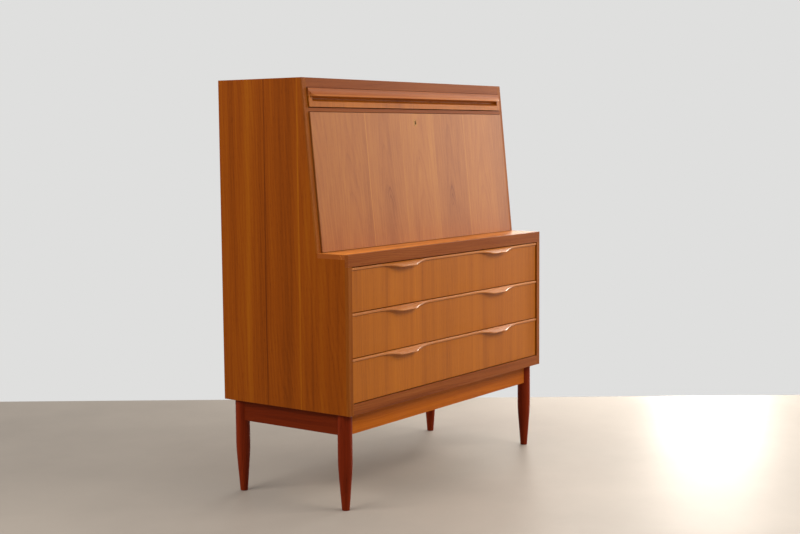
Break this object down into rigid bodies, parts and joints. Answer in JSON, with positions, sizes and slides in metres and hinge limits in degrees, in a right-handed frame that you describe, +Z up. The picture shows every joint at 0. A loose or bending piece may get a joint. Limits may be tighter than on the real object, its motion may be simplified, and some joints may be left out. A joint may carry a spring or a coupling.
{
  "type": "secretary desk",
  "caption": "Teak secretary desk: a case of drawers with carved lip pulls on turned legs, under a sloping fall-front writing compartment and a shallow drawer.",
  "frame": {"origin": "on the floor, under the middle of the box round the desk", "axes": "+Z up, +X to the sitter's right, +Y from the sitter towards the back"},
  "size_m": [0.942, 0.44, 1.1],
  "materials": {
    "teak_side": "oiled, satin",
    "teak_ledge": "oiled, satin",
    "teak_solid": "oiled, satin",
    "teak_leg": "oiled, satin",
    "teak_apron": "oiled, satin",
    "teak_fall": "oiled, satin",
    "teak_drawer": "oiled, satin",
    "teak_lip": "oiled, satin",
    "teak_inner": "oiled, satin",
    "pale_board": "bare, sanded beech",
    "plywood": "bare birch face",
    "brass": "satin, slightly dulled",
    "steel": "bright zinc"
  },
  "bodies": {
    "case": {"side_left": "teak_side", "side_right": "teak_side", "case_top": "teak_side", "ledge_board": "teak_ledge", "desk_floor": "teak_ledge", "side_lippings": "teak_solid", "top_rail": "teak_solid", "middle_rail": "teak_solid", "bottom_rail": "teak_solid", "ledge_rail": "teak_solid", "leg_front_left": "teak_leg", "leg_front_right": "teak_leg", "leg_rear_left": "teak_leg", "leg_rear_right": "teak_leg", "apron_front": "teak_apron", "apron_rear": "teak_apron", "apron_left": "teak_apron", "apron_right": "teak_apron", "gallery_dividers": "teak_inner", "gallery_side_shelves": "teak_inner", "gallery_middle_shelf": "teak_inner", "letter_partitions": "teak_inner", "fall_stop": "teak_inner", "middle_board": "pale_board", "bottom_board": "pale_board", "drawer_runners": "pale_board", "corner_blocks": "pale_board", "back_panel": "plywood", "strike_plate": "brass", "pivot_bushes": "brass", "back_screws": "steel", "base_screws": "steel"},
    "fall": {"fall_panel": "teak_fall", "escutcheon": "brass", "lock_case": "brass", "pivot_pins": "brass"},
    "lock_bolt": {"lock_bolt": "steel"},
    "drawer_1": {"drawer_1_front": "teak_drawer", "drawer_1_lip": "teak_lip", "drawer_1_walls": "pale_board", "drawer_1_bottom": "plywood"},
    "drawer_2": {"drawer_2_front": "teak_drawer", "drawer_2_lip": "teak_lip", "drawer_2_walls": "pale_board", "drawer_2_bottom": "plywood"},
    "drawer_3": {"drawer_3_front": "teak_drawer", "drawer_3_lip": "teak_lip", "drawer_3_walls": "pale_board", "drawer_3_bottom": "plywood"},
    "top_drawer": {"top_drawer_front": "teak_drawer", "top_drawer_lip": "teak_lip", "top_drawer_walls": "pale_board", "top_drawer_bottom": "plywood"},
    "small_drawer_left": {"small_drawer_left_front": "teak_inner", "small_drawer_left_walls": "pale_board", "small_drawer_left_bottom": "plywood"},
    "small_drawer_right": {"small_drawer_right_front": "teak_inner", "small_drawer_right_walls": "pale_board", "small_drawer_right_bottom": "plywood"}
  },
  "joints": [
    {"name": "fall_hinge", "type": "hinge", "parent": "case", "child": "fall", "pos_m": [0, -0.1035, 0.6678], "axis": [1, 0, 0], "range_deg": [0, 95.68]},
    {"name": "bolt_slide", "type": "slide", "parent": "fall", "child": "lock_bolt", "axis": [0, 0.0991, 0.9951], "range_m": [0, 0.009]},
    {"name": "drawer_1_slide", "type": "slide", "parent": "case", "child": "drawer_1", "axis": [0, -1, 0], "range_m": [0, 0.3]},
    {"name": "drawer_2_slide", "type": "slide", "parent": "case", "child": "drawer_2", "axis": [0, -1, 0], "range_m": [0, 0.3]},
    {"name": "drawer_3_slide", "type": "slide", "parent": "case", "child": "drawer_3", "axis": [0, -1, 0], "range_m": [0, 0.3]},
    {"name": "top_drawer_slide", "type": "slide", "parent": "case", "child": "top_drawer", "axis": [0, -1, 0], "range_m": [0, 0.2]},
    {"name": "small_drawer_left_slide", "type": "slide", "parent": "case", "child": "small_drawer_left", "axis": [0, -1, 0], "range_m": [0, 0.11]},
    {"name": "small_drawer_right_slide", "type": "slide", "parent": "case", "child": "small_drawer_right", "axis": [0, -1, 0], "range_m": [0, 0.11]}
  ]
}
